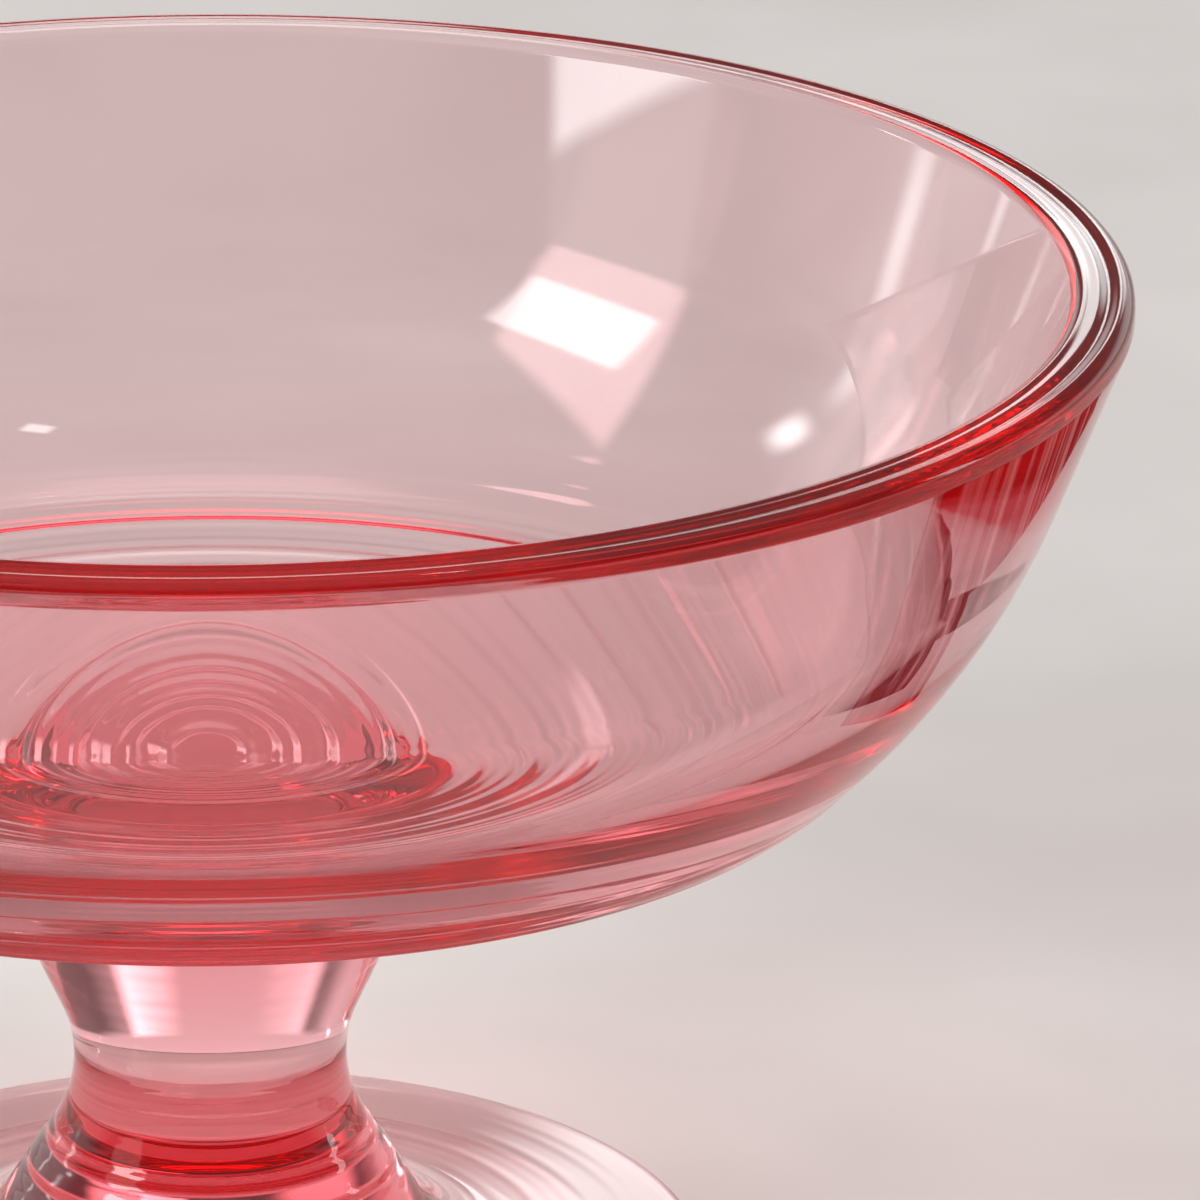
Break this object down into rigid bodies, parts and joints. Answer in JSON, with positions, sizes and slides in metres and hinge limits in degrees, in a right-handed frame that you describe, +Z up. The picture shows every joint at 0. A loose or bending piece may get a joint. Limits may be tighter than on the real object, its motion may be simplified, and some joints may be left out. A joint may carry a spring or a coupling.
{
  "type": "footed glass bowl",
  "caption": "Low footed bowl of clear rose-pink glass: a flared cup with a thick base on a solid waisted stem and a thin round foot.",
  "frame": {"origin": "centre of the foot at the level of the table", "axes": "+Z up along the axis of the bowl; +X and +Y are any two level directions, because every piece is round"},
  "size_m": [0.13, 0.13, 0.076],
  "materials": {
    "bowl_glass": "gloss",
    "stem_glass": "gloss",
    "foot_glass": "gloss"
  },
  "bodies": {
    "root": {"bowl": "bowl_glass", "stem": "stem_glass", "foot": "foot_glass"}
  },
  "joints": []
}
